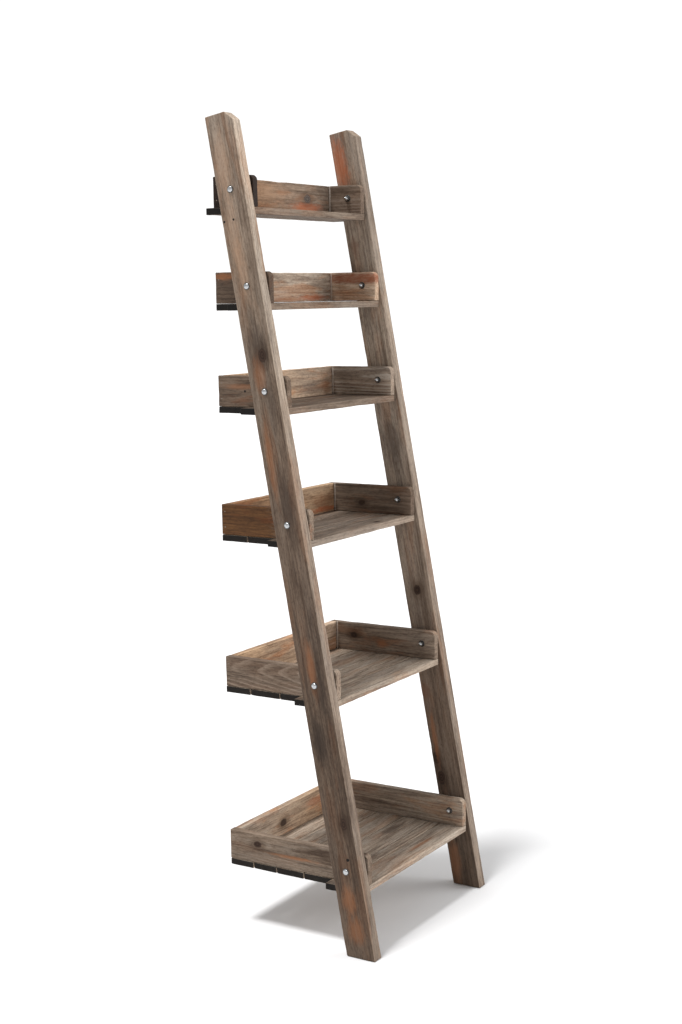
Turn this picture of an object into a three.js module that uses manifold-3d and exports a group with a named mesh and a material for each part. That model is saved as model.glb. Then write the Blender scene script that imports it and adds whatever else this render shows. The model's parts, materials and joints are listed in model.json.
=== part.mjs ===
// Ladder shelf: two leaning rails that carry six open-fronted trays, each deeper than the one above.
// A tray hangs on one pivot bolt at each side and rests its stop slat on the rails' rear edges,
// so every tray can be swung up between the rails and the shelf stored flat.
//
// Units are millimetres, +Z is up, +X is to the right and -Y is the front.
// The origin lies on the floor, in the middle of the width and of the depth.

import * as THREE from 'three';
import { mergeVertices } from 'three/addons/utils/BufferGeometryUtils.js';
import Module from 'manifold-3d';

// ---------------------------------------------------------------------------
// Driving dimensions
// ---------------------------------------------------------------------------

const OVERALL_WIDTH = 536; // across the outer faces of the two rails
const LEAN = THREE.MathUtils.degToRad(10.1); // of the rails, from the vertical

const RAIL_LENGTH = 1880; // along the front edge, from the floor to the square-cut top
const RAIL_WIDTH = 72; // across the side face
const RAIL_THICKNESS = 30;
const RAIL_CHAMFER = 20; // cut off the front corner of the top end

const WALL_CLEARANCE = 7; // from the top of the rails back to the wall that the trays touch
const TOP_PIVOT_DROP = 165; // from the rail's square-cut top down to the first pivot, along the rail
const BOTTOM_PIVOT_HEIGHT = 194; // of the last pivot above the floor

const BOARD_THICKNESS = 18; // side and back boards of a tray
const BOARD_HEIGHT = 69;
const BOARD_NOSE_RADIUS = 13; // rounded top corner at a side board's open end
const PLANK_THICKNESS = 15; // floor planks and stop slats
const PLANK_GAP = 2.5; // between neighbouring floor planks
const STOP_SLAT_INSET = 6; // of a stop slat's end from the rail's outer face

const SIDE_GAP = 4; // between a rail and the tray beside it, held by a spacer washer
const FOLD_CLEARANCE = 1; // between a folded tray's stop slat and the rails
const FIT_GAP = 0.3; // left between pieces that touch

const SHANK_RADIUS = 3; // M6 carriage bolt
const HEAD_RADIUS = 8;
const HEAD_HEIGHT = 4;
const WASHER_RADIUS = 8;
const WASHER_THICKNESS = 1.6;
const NUT_ACROSS_FLATS = 10;
const NUT_HEIGHT = 5;
const CAP_RADIUS = 4.6; // the dome that closes the nut
const CAP_SEAT = 1; // how far the dome sinks into the nut
const BOLT_CLEARANCE = 0.4; // of a bolt hole around the shank

const ROUND_SEGMENTS = 16; // around a whole circle of a bolt
const DOME_STEPS = 4; // from a dome's rim to its top
const WELD_TOLERANCE = 1e-4; // between corners that are one point

// The trays from the top down. The drop to the next pivot is a share of the whole run of pivots;
// the floor planks behind the stop slat share the space there in the given proportion.
const TRAYS = [
  { name: 'tray_1', dropShare: 0.14, stopSlatWidth: 0, rearPlanks: [] },
  { name: 'tray_2', dropShare: 0.153, stopSlatWidth: 28, rearPlanks: [1] },
  { name: 'tray_3', dropShare: 0.195, stopSlatWidth: 40, rearPlanks: [1] },
  { name: 'tray_4', dropShare: 0.236, stopSlatWidth: 28, rearPlanks: [1, 1] },
  { name: 'tray_5', dropShare: 0.276, stopSlatWidth: 28, rearPlanks: [0.8, 1.18, 1] },
  { name: 'tray_6', dropShare: 0, stopSlatWidth: 28, rearPlanks: [1.13, 1.13, 0.96, 1] },
];

const COLOURS = {
  rail_left: 0x84705f,
  rail_right: 0x8a6f58,
  tray_1: { side_left: 0x3f3732, side_right: 0x5c5550, back: 0xa08468, floor: 0x9c8b77 },
  tray_2: { side_left: 0x40332b, side_right: 0x7b6656, back: 0x8c7864, floor: 0x8f7d69 },
  tray_3: { side_left: 0x5b4739, side_right: 0x514941, back: 0x947a60, floor: 0x8a7966 },
  tray_4: { side_left: 0x6a4634, side_right: 0x57483e, back: 0x86694f, floor: 0x847564 },
  tray_5: { side_left: 0x6f645b, side_right: 0x77695a, back: 0xb08e6e, floor: 0x93816e },
  tray_6: { side_left: 0x75665a, side_right: 0x71604f, back: 0x8d7763, floor: 0x9a8a74 },
  zinc: 0xc4c6c8,
};

// ---------------------------------------------------------------------------
// Worked-out sizes
// ---------------------------------------------------------------------------

const pivotDepth = RAIL_WIDTH / 2; // square in from the rail's front edge
const pivotRise = RAIL_WIDTH / 2 + FOLD_CLEARANCE; // of a pivot above its tray's floor
const wallDistance = RAIL_LENGTH * Math.sin(LEAN) + RAIL_WIDTH * Math.cos(LEAN) + WALL_CLEARANCE;
const trayWidth = OVERALL_WIDTH - 2 * (RAIL_THICKNESS + SIDE_GAP);

const firstPivotAlongRail = RAIL_LENGTH - TOP_PIVOT_DROP;
const lastPivotAlongRail = (BOTTOM_PIVOT_HEIGHT + pivotDepth * Math.sin(LEAN)) / Math.cos(LEAN);
const pivotRun = firstPivotAlongRail - lastPivotAlongRail;

/** Adds to each tray its pivot's distance from the foot, along the rail's front edge. */
function placePivots(trays) {
  let alongRail = firstPivotAlongRail;
  return trays.map((tray) => {
    const placed = { ...tray, alongRail };
    alongRail -= tray.dropShare * pivotRun;
    return placed;
  });
}

/** A point of the rail, from its own axes (depth square to the front edge, along it) to [y, z]. */
function fromRail(depth, along) {
  return [
    along * Math.sin(LEAN) + depth * Math.cos(LEAN),
    along * Math.cos(LEAN) - depth * Math.sin(LEAN),
  ];
}

// ---------------------------------------------------------------------------
// Shapes
// ---------------------------------------------------------------------------

const wood = (colour) =>
  new THREE.MeshStandardMaterial({ color: colour, roughness: 0.85, metalness: 0 });
const zinc = new THREE.MeshStandardMaterial({
  color: COLOURS.zinc,
  roughness: 0.3,
  metalness: 1,
});

/** A side profile drawn in (y, z), given a thickness that is centred on x = 0. */
function sideProfile(shape, thickness) {
  const geometry = new THREE.ExtrudeGeometry(shape, {
    depth: thickness,
    bevelEnabled: false,
    curveSegments: ROUND_SEGMENTS,
  });
  geometry.translate(0, 0, -thickness / 2);
  const shapeToSide = new THREE.Matrix4().makeBasis(
    new THREE.Vector3(0, 1, 0),
    new THREE.Vector3(0, 0, 1),
    new THREE.Vector3(1, 0, 0),
  );
  return geometry.applyMatrix4(shapeToSide);
}

/** A round hole for a bolt in a side profile. */
function boltHole(y, z) {
  const hole = new THREE.Path();
  hole.absarc(y, z, SHANK_RADIUS + BOLT_CLEARANCE, 0, 2 * Math.PI, true);
  return hole;
}

/** A box from its ranges in x, y and z. */
function block([x0, x1], [y0, y1], [z0, z1]) {
  const geometry = new THREE.BoxGeometry(x1 - x0, y1 - y0, z1 - z0);
  return geometry.translate((x0 + x1) / 2, (y0 + y1) / 2, (z0 + z1) / 2);
}

function named(name, geometry, material) {
  const mesh = new THREE.Mesh(geometry, material);
  mesh.name = name;
  return mesh;
}

// ---------------------------------------------------------------------------
// Rails
// ---------------------------------------------------------------------------

/** A rail in its own axes: y runs across the side face from the front edge, z along the rail. */
function railGeometry(trays) {
  const outline = new THREE.Shape();
  outline.moveTo(0, 0);
  outline.lineTo(RAIL_WIDTH, RAIL_WIDTH * Math.tan(LEAN)); // the foot is cut level
  outline.lineTo(RAIL_WIDTH, RAIL_LENGTH);
  outline.lineTo(RAIL_CHAMFER, RAIL_LENGTH);
  outline.lineTo(0, RAIL_LENGTH - RAIL_CHAMFER);
  outline.closePath();
  for (const { alongRail } of trays) {
    outline.holes.push(boltHole(pivotDepth, alongRail));
  }
  return sideProfile(outline, RAIL_THICKNESS);
}

function buildRails(trays) {
  const rails = new THREE.Group();
  const centre = (OVERALL_WIDTH - RAIL_THICKNESS) / 2;
  const geometry = railGeometry(trays);
  for (const [name, x] of [['rail_left', -centre], ['rail_right', centre]]) {
    const rail = named(name, geometry, wood(COLOURS[name]));
    rail.position.x = x;
    rail.rotation.x = -LEAN;
    rails.add(rail);
  }
  return rails;
}

// ---------------------------------------------------------------------------
// Bolts
// ---------------------------------------------------------------------------

const manifoldLibrary = await Module();
manifoldLibrary.setup();

/** A closed mesh as a manifold solid. */
function toSolid(geometry) {
  const bare = geometry.clone();
  bare.deleteAttribute('normal');
  bare.deleteAttribute('uv');
  const merged = mergeVertices(bare, WELD_TOLERANCE);
  return new manifoldLibrary.Manifold(new manifoldLibrary.Mesh({
    numProp: 3,
    vertProperties: new Float32Array(merged.attributes.position.array),
    triVerts: new Uint32Array(merged.index.array),
  }));
}

/** Joins closed meshes that overlap into one. */
function join(...geometries) {
  const solids = geometries.map(toSolid);
  const { vertProperties, triVerts } = solids.reduce((a, b) => a.add(b)).getMesh();
  const joined = new THREE.BufferGeometry();
  joined.setAttribute('position', new THREE.BufferAttribute(vertProperties, 3));
  joined.setIndex(new THREE.BufferAttribute(triVerts, 1));
  return joined;
}

/** A quarter dome in (radius, height), from its rim up to the axis. */
function dome(radius, height, base) {
  const points = [];
  for (let i = 0; i < DOME_STEPS; i += 1) {
    const angle = (i / DOME_STEPS) * (Math.PI / 2);
    points.push([radius * Math.cos(angle), base + height * Math.sin(angle)]);
  }
  return [...points, [0, base + height]];
}

/**
 * A pivot bolt with its spacer washer, inner washer and dome nut, all in one piece.
 * Its axis is x, with the rail's outer face at x = 0, the head at -x and the nut at +x.
 */
function boltGeometry() {
  const boardInside = RAIL_THICKNESS + SIDE_GAP + BOARD_THICKNESS;
  const washerTop = boardInside + FIT_GAP + WASHER_THICKNESS;
  const nutTop = washerTop + NUT_HEIGHT;
  const capBase = nutTop - CAP_SEAT;
  // radius and distance along the axis, from the nut's end to the head's end
  const profile = [
    ...dome(CAP_RADIUS, CAP_RADIUS, capBase).reverse(),
    [SHANK_RADIUS, capBase],
    [SHANK_RADIUS, washerTop],
    [WASHER_RADIUS, washerTop],
    [WASHER_RADIUS, boardInside + FIT_GAP],
    [SHANK_RADIUS, boardInside + FIT_GAP],
    [SHANK_RADIUS, RAIL_THICKNESS + SIDE_GAP - FIT_GAP],
    [WASHER_RADIUS, RAIL_THICKNESS + SIDE_GAP - FIT_GAP],
    [WASHER_RADIUS, RAIL_THICKNESS + FIT_GAP],
    [SHANK_RADIUS, RAIL_THICKNESS + FIT_GAP],
    [SHANK_RADIUS, -FIT_GAP],
    ...dome(HEAD_RADIUS, -HEAD_HEIGHT, -FIT_GAP),
  ];
  const turned = new THREE.LatheGeometry(
    profile.reverse().map(([radius, along]) => new THREE.Vector2(radius, along)),
    ROUND_SEGMENTS,
  );
  const nutCorner = NUT_ACROSS_FLATS / Math.sqrt(3);
  const nutBase = washerTop - FIT_GAP; // sunk into the washer, so that the two join
  const nut = new THREE.CylinderGeometry(nutCorner, nutCorner, nutTop - nutBase, 6);
  nut.translate(0, (nutTop + nutBase) / 2, 0);
  return join(turned, nut).rotateZ(-Math.PI / 2);
}

function buildBolts(trays) {
  const bolts = new THREE.Group();
  const geometry = boltGeometry();
  for (const { name, alongRail } of trays) {
    const [y, z] = fromRail(pivotDepth, alongRail);
    const left = named(`${name}_bolt_left`, geometry, zinc);
    left.position.set(-OVERALL_WIDTH / 2, y, z);
    const right = named(`${name}_bolt_right`, geometry, zinc);
    right.position.set(OVERALL_WIDTH / 2, y, z);
    right.rotation.z = Math.PI;
    bolts.add(left, right);
  }
  return bolts;
}

// ---------------------------------------------------------------------------
// Trays
// ---------------------------------------------------------------------------

/** A tray's side board: the front end is open, with its top corner rounded. */
function sideBoardGeometry(front, back, bottom) {
  const top = bottom + BOARD_HEIGHT;
  const outline = new THREE.Shape();
  outline.moveTo(front, bottom);
  outline.lineTo(back, bottom);
  outline.lineTo(back, top);
  outline.lineTo(front + BOARD_NOSE_RADIUS, top);
  outline.absarc(
    front + BOARD_NOSE_RADIUS,
    top - BOARD_NOSE_RADIUS,
    BOARD_NOSE_RADIUS,
    Math.PI / 2,
    Math.PI,
    false,
  );
  outline.closePath();
  outline.holes.push(boltHole(0, 0));
  return sideProfile(outline, BOARD_THICKNESS);
}

/** The [front, back] range of each floor plank behind the stop slat, from the front. */
function rearPlankRanges(shares, front, back) {
  const whole = shares.reduce((sum, share) => sum + share, 0);
  const timber = back - front - shares.length * PLANK_GAP;
  let edge = front;
  return shares.map((share) => {
    const start = edge + PLANK_GAP;
    edge = start + (timber * share) / whole;
    return [start, edge];
  });
}

/** One tray in its own axes, with the pivot line at y = 0 and z = 0. */
function buildTray({ name, alongRail, stopSlatWidth, rearPlanks }) {
  const [pivotY, pivotZ] = fromRail(pivotDepth, alongRail);
  const colours = COLOURS[name];
  const tray = new THREE.Group();
  tray.position.set(0, pivotY, pivotZ);

  const front = -pivotDepth / Math.cos(LEAN); // level with the rail's front edge at the pivot
  const back = wallDistance - pivotY;
  const boardBottom = -pivotRise;
  const plankTop = boardBottom - FIT_GAP;
  const plankZ = [plankTop - PLANK_THICKNESS, plankTop];

  const sideCentre = (trayWidth - BOARD_THICKNESS) / 2;
  const sideGeometry = sideBoardGeometry(front, back, boardBottom);
  for (const [side, x] of [['side_left', -sideCentre], ['side_right', sideCentre]]) {
    const board = named(`${name}_${side}`, sideGeometry, wood(colours[side]));
    board.position.x = x;
    tray.add(board);
  }

  const insideHalf = trayWidth / 2 - BOARD_THICKNESS - FIT_GAP;
  const backBoard = block(
    [-insideHalf, insideHalf],
    [back - BOARD_THICKNESS, back],
    [boardBottom, boardBottom + BOARD_HEIGHT],
  );
  tray.add(named(`${name}_back`, backBoard, wood(colours.back)));

  // the slat's upper front edge bears on the rails' rear edges
  const slatFront = (pivotDepth + FIT_GAP + plankTop * Math.sin(LEAN)) / Math.cos(LEAN);
  const slatBack = rearPlanks.length > 0 ? slatFront + stopSlatWidth : back;
  const slatHalf = OVERALL_WIDTH / 2 - STOP_SLAT_INSET;
  const slat = block([-slatHalf, slatHalf], [slatFront, slatBack], plankZ);
  tray.add(named(`${name}_stop_slat`, slat, wood(colours.floor)));

  const plankRanges = [
    [front, slatFront - PLANK_GAP],
    ...rearPlankRanges(rearPlanks, slatBack, back),
  ];
  plankRanges.forEach((plankY, index) => {
    const plank = block([-trayWidth / 2, trayWidth / 2], plankY, plankZ);
    tray.add(named(`${name}_plank_${index + 1}`, plank, wood(colours.floor)));
  });
  return tray;
}

// ---------------------------------------------------------------------------
// The whole shelf
// ---------------------------------------------------------------------------

const placedTrays = placePivots(TRAYS);
const shelf = new THREE.Group();
shelf.add(buildRails(placedTrays), buildBolts(placedTrays), ...placedTrays.map(buildTray));
shelf.position.y = -wallDistance / 2;

export default shelf;
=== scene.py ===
"""Looks of the ladder shelf: worn reclaimed boards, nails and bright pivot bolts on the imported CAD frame.

Every board is made in its own axes: u along the grain, v across its width and w through its
thickness. A Lie places those axes in the shelf's frame, for the mesh and for its grain alike.
"""

from __future__ import annotations

import json
import logging
import math
from dataclasses import dataclass, field, replace
from enum import Enum
from typing import Any, Iterable

import bmesh
import bpy
from mathutils import Matrix, Vector, noise

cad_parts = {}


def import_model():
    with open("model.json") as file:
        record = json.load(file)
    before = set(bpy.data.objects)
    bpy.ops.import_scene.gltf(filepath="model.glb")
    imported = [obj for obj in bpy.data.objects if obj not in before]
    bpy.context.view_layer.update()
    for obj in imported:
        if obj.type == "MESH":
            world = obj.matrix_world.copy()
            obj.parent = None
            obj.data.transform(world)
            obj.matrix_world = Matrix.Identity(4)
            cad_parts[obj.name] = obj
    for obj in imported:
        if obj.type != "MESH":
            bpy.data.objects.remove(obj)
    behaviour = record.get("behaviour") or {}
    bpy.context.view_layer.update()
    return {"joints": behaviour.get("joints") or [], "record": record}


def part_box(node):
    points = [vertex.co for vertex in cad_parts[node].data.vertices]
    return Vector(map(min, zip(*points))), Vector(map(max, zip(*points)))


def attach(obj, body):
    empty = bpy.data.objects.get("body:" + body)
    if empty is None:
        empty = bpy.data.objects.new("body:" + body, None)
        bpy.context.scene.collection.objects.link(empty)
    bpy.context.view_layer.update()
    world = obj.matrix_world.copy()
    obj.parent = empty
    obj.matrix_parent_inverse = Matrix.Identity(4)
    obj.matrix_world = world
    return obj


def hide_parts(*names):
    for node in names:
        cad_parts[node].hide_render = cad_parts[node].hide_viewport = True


log = logging.getLogger("ladder_shelf")

Colour = tuple[float, float, float, float]
Place = tuple[float, float]
Triple = tuple[float, float, float]
Tones = tuple[str, ...]

LEAN = math.radians(10.1)
TRAY_COUNT = 6
SIDES = ("left", "right")
MM = 0.001
CLOSE = 1e-6


def srgb(code: str) -> Colour:
    """Turn a hexadecimal sRGB code into a linear colour.

    Args:
        code: six hexadecimal digits.

    Returns:
        Red, green, blue and an alpha of one.
    """
    channels = [int(code[i : i + 2], 16) / 255 for i in (0, 2, 4)]
    linear = [c / 12.92 if c <= 0.04045 else ((c + 0.055) / 1.055) ** 2.4 for c in channels]
    return (linear[0], linear[1], linear[2], 1.0)


# --------------------------------------------------------------------------------------
# Node trees
# --------------------------------------------------------------------------------------


class Graph:
    """A node tree that is filled one node at a time."""

    def __init__(self, tree: bpy.types.NodeTree) -> None:
        """Start on an emptied tree."""
        self.tree = tree
        tree.nodes.clear()

    def node(self, kind: str, inputs: dict[Any, Any] | None = None, **settings: Any) -> bpy.types.Node:
        """Add a node.

        Args:
            kind: the node's type.
            inputs: a socket or a constant for each input, by name or by number.
            **settings: properties of the node itself.

        Returns:
            The new node.
        """
        made = self.tree.nodes.new(kind)
        for name, value in settings.items():
            setattr(made, name, value)
        for key, value in (inputs or {}).items():
            self.feed(made.inputs[key], value)
        return made

    def feed(self, socket: bpy.types.NodeSocket, value: Any) -> None:
        """Link a socket to an input, or set the input to a constant.

        Args:
            socket: the input.
            value: a socket or a constant.
        """
        if isinstance(value, bpy.types.NodeSocket):
            self.tree.links.new(value, socket)
        else:
            socket.default_value = value

    def math(self, operation: str, a: Any, b: Any = 0.0, clamp: bool = False) -> bpy.types.NodeSocket:
        """Return a number worked out from one or two others."""
        return self.node("ShaderNodeMath", {0: a, 1: b}, operation=operation, use_clamp=clamp).outputs[0]

    def vector(self, operation: str, a: Any, b: Any = (0.0, 0.0, 0.0)) -> bpy.types.NodeSocket:
        """Return a vector, or a number for a product or length, from one or two vectors."""
        made = self.node("ShaderNodeVectorMath", {0: a, 1: b}, operation=operation)
        return made.outputs["Value" if operation in ("DOT_PRODUCT", "LENGTH") else "Vector"]

    def step(self, value: Any, low: float, high: float, top: Any = 1.0) -> bpy.types.NodeSocket:
        """Add a smooth step.

        Args:
            value: what is stepped.
            low: the value up to which it gives nought.
            high: the value from which it gives the top.
            top: the top.

        Returns:
            The stepped value.
        """
        made = self.node(
            "ShaderNodeMapRange",
            {"Value": value, "From Min": low, "From Max": high, "To Min": 0.0, "To Max": top},
            interpolation_type="SMOOTHSTEP",
        )
        return made.outputs["Result"]

    def mix(self, share: Any, a: Any, b: Any, blend: str = "MIX") -> bpy.types.NodeSocket:
        """Return colour a with that share of colour b blended over it."""
        made = self.node("ShaderNodeMix", {0: share, 6: a, 7: b}, data_type="RGBA", blend_type=blend)
        return made.outputs[2]

    def shade(self, colour: Any, tint: Triple) -> bpy.types.NodeSocket:
        """Return a colour multiplied by a tint."""
        return self.mix(1.0, colour, (*tint, 1.0), "MULTIPLY")

    def noise(self, point: Any, stretch: Triple, detail: float = 2.0, rough: float = 0.5) -> bpy.types.Node:
        """Add a noise whose cells are 1/stretch metres long on each axis.

        Args:
            point: the point that is looked up, in metres.
            stretch: how many cells a metre holds on each axis.
            detail: how many finer layers it has.
            rough: how strong they are.

        Returns:
            The noise node.
        """
        scaled = self.vector("MULTIPLY", point, stretch)
        settings = {"Vector": scaled, "Scale": 1.0, "Detail": detail, "Roughness": rough}
        return self.node("ShaderNodeTexNoise", settings)

    def split(self, vector: Any) -> list[bpy.types.NodeSocket]:
        """Return the three components of a vector."""
        return list(self.node("ShaderNodeSeparateXYZ", {0: vector}).outputs)

    def join(self, x: Any, y: Any, z: Any) -> bpy.types.NodeSocket:
        """Return the vector of three components."""
        return self.node("ShaderNodeCombineXYZ", {0: x, 1: y, 2: z}).outputs[0]


# --------------------------------------------------------------------------------------
# Finishes
# --------------------------------------------------------------------------------------


@dataclass(frozen=True)
class Timber:
    """The tones and the grain of a board of weathered softwood."""

    light: str = "d6c8ba"
    dark: str = "8a7a6d"
    stain: str = "dba06f"
    stain_share: float = 0.4
    film: str = "cbc5be"
    ring: str = "6f5d50"
    film_share: float = 0.35
    ring_width: float = 0.0048
    ring_strength: float = 0.3
    cant: float = 0.03
    pith: Place = (0.012, -0.045)
    end_tone: float = 0.9


class Blot(Enum):
    """A kind of mark in a board: how sharp its rim is and whether the grain flows round it."""

    KNOT = (0.62, 1.0, True)
    STAIN = (0.3, 1.1, False)
    HOLE = (0.75, 1.0, False)


@dataclass(frozen=True)
class Mark:
    """A knot, stain or old nail hole, placed on a board by its u and v."""

    blot: Blot
    u: float
    v: float
    length: float
    width: float
    colour: str
    strength: float = 1.0
    w: float = 0.0
    depth: float = 0.0


@dataclass(frozen=True)
class Layer:
    """A noise in the wood: its cells a metre along and across the grain, and where it shows."""

    along: float
    across: float
    detail: float = 2.0
    rough: float = 0.5
    start: Triple = (0.0, 0.0, 0.0)
    low: float = 0.0
    high: float = 1.0
    strength: float = 1.0

    def noise(self, g: Graph, point: Any) -> bpy.types.NodeSocket:
        """Return the noise at a point."""
        stretch = (self.along, self.across, self.across)
        return g.noise(g.vector("ADD", point, self.start), stretch, self.detail, self.rough).outputs[0]

    def shown(self, g: Graph, point: Any) -> bpy.types.NodeSocket:
        """Return how strongly the layer shows at a point."""
        return g.step(self.noise(g, point), self.low, self.high, self.strength)


class Softwood:
    """The node group that gives every board its grain."""

    NAME = "weathered softwood"
    INPUTS = (
        ("Point", "Vector"), ("Seed", "Vector"), ("Light", "Color"), ("Dark", "Color"), ("Stain", "Color"),
        ("Film", "Color"), ("Ring", "Color"), ("Stain Share", "Float"), ("Film Share", "Float"),
        ("Ring Width", "Float"), ("Ring Strength", "Float"), ("Cant", "Float"), ("Pith", "Vector"),
    )  # fmt: skip
    OUTPUTS = (("Color", "Color"), ("Roughness", "Float"), ("Height", "Float"))

    FIBRE = Layer(8.0, 240.0, 6.0, 0.74)
    STREAK = Layer(3.4, 115.0, 3.0, 0.55)
    BAND = Layer(2.4, 15.0, 3.0)
    MOTTLE = Layer(9.0, 52.0, 7.0, 0.72, (5.5, 2.2, 7.1))
    DAMP = Layer(4.0, 21.0, 6.0, 0.68, (2.7, 9.1, 3.3), 0.52, 0.7, 0.7)
    RUST = Layer(5.5, 26.0, 4.0, 0.62, (3.1, 1.7, 0.4), 0.5, 0.62)
    FILM = Layer(4.0, 32.0, 5.0, 0.6, (0.7, 5.3, 2.9), 0.45, 0.6)
    SPECK = Layer(85.0, 270.0, 4.0, 0.75, (6.6, 3.8, 0.9), 0.46, 0.66, 0.55)
    DIRT = Layer(3.2, 120.0, 4.0, 0.7, (8.2, 0.6, 4.4), 0.58, 0.74, 0.62)
    CHECK = Layer(11.0, 900.0, 2.0, 0.5, (1.9, 7.7, 6.1), 0.67, 0.76, 0.6)

    DAMP_TINT = (0.40, 0.34, 0.31)
    RUST_TINT = (0.5, 0.42, 0.4)
    SPECK_TINT = (0.42, 0.38, 0.35)
    DIRT_COLOUR = (0.035, 0.026, 0.02, 1.0)
    CHECK_COLOUR = (0.02, 0.015, 0.012, 1.0)

    RING_SWAY = 0.016
    RING_JITTER = 0.7

    def group(self) -> bpy.types.NodeTree:
        """Return the node group, made the first time it is asked for."""
        return bpy.data.node_groups.get(self.NAME) or self._build()

    def _build(self) -> bpy.types.NodeTree:
        """Make the node group.

        Returns:
            A group from a board's point and tones to its colour, roughness and height.
        """
        tree = bpy.data.node_groups.new(self.NAME, "ShaderNodeTree")
        for name, kind in self.INPUTS:
            tree.interface.new_socket(name=name, in_out="INPUT", socket_type=f"NodeSocket{kind}")
        for name, kind in self.OUTPUTS:
            tree.interface.new_socket(name=name, in_out="OUTPUT", socket_type=f"NodeSocket{kind}")
        g = Graph(tree)
        given = g.node("NodeGroupInput").outputs
        seeded = g.vector("ADD", given["Point"], given["Seed"])
        late = self._rings(g, given, seeded)
        fibre, band = self.FIBRE.noise(g, seeded), self.BAND.noise(g, seeded)
        streak, mottle = self.STREAK.noise(g, seeded), self.MOTTLE.noise(g, seeded)
        tone: Any = 0.0
        for value, share in ((fibre, 0.44), (streak, 0.14), (band, 0.12), (mottle, 0.3)):
            tone = g.math("ADD", tone, g.math("MULTIPLY", value, share))
        colour = g.mix(g.step(tone, 0.4, 0.6), given["Dark"], given["Light"])
        # broad shadows where damp has darkened the wood
        colour = g.mix(self.DAMP.shown(g, seeded), colour, g.shade(colour, self.DAMP_TINT))
        # rings: each late-wood line is darker and warmer, and fades here and there
        ring_share = g.math("MULTIPLY", given["Ring Strength"], g.step(band, 0.25, 0.6))
        colour = g.mix(g.math("MULTIPLY", late, ring_share), colour, given["Ring"])
        # rust-coloured stain where the old surface has stayed
        stained = g.math("MULTIPLY", self.RUST.shown(g, seeded), given["Stain Share"])
        stain = g.mix(fibre, g.shade(given["Stain"], self.RUST_TINT), given["Stain"])
        colour = g.mix(stained, colour, stain)
        # silver film that the weather leaves on the soft early wood
        filmed = g.math("MULTIPLY", self.FILM.shown(g, seeded), given["Film Share"])
        filmed = g.math("MULTIPLY", filmed, g.math("SUBTRACT", 1.0, g.math("MULTIPLY", late, 0.6)))
        colour = g.mix(filmed, colour, given["Film"])
        # pits and specks where the soft wood has worn, dirt along the grain, and hair-line checks
        colour = g.mix(self.SPECK.shown(g, seeded), colour, g.shade(colour, self.SPECK_TINT))
        colour = g.mix(self.DIRT.shown(g, seeded), colour, self.DIRT_COLOUR)
        checked = self.CHECK.shown(g, seeded)
        colour = g.mix(checked, colour, self.CHECK_COLOUR)
        rough = g.math("ADD", 0.72, g.math("MULTIPLY", fibre, 0.22), clamp=True)
        raised = g.math("ADD", g.math("MULTIPLY", late, 0.45), g.math("MULTIPLY", fibre, 0.8))
        height = g.math("SUBTRACT", raised, checked)
        g.node("NodeGroupOutput", {"Color": colour, "Roughness": rough, "Height": height})
        return tree

    def _rings(self, g: Graph, given: Any, seeded: Any) -> bpy.types.NodeSocket:
        """Grow the year rings round a pith that runs beside the board.

        Args:
            g: the group's graph.
            given: the group's inputs.
            seeded: the point with the board's seed added, for noise.

        Returns:
            The strength of the late-wood line.
        """
        wander = g.noise(seeded, (2.1, 7.0, 7.0), 2.0).outputs["Color"]
        centred = g.vector("SUBTRACT", wander, (0.5, 0.5, 0.5))
        swing = g.vector("MULTIPLY", centred, (0.0, self.RING_SWAY, self.RING_SWAY))
        u, v, w = g.split(g.vector("ADD", g.vector("SUBTRACT", given["Point"], given["Pith"]), swing))
        radius = g.vector("LENGTH", g.join(0.0, v, w))
        grown = g.math("ADD", radius, g.math("MULTIPLY", u, given["Cant"]))
        jitter = g.math("MULTIPLY", g.noise(seeded, (6.0, 70.0, 70.0), 2.0).outputs[0], self.RING_JITTER)
        part = g.math("FRACT", g.math("ADD", g.math("DIVIDE", grown, given["Ring Width"]), jitter))
        return g.math("SUBTRACT", g.step(part, 0.42, 0.86), g.step(part, 0.9, 1.0))


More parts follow.
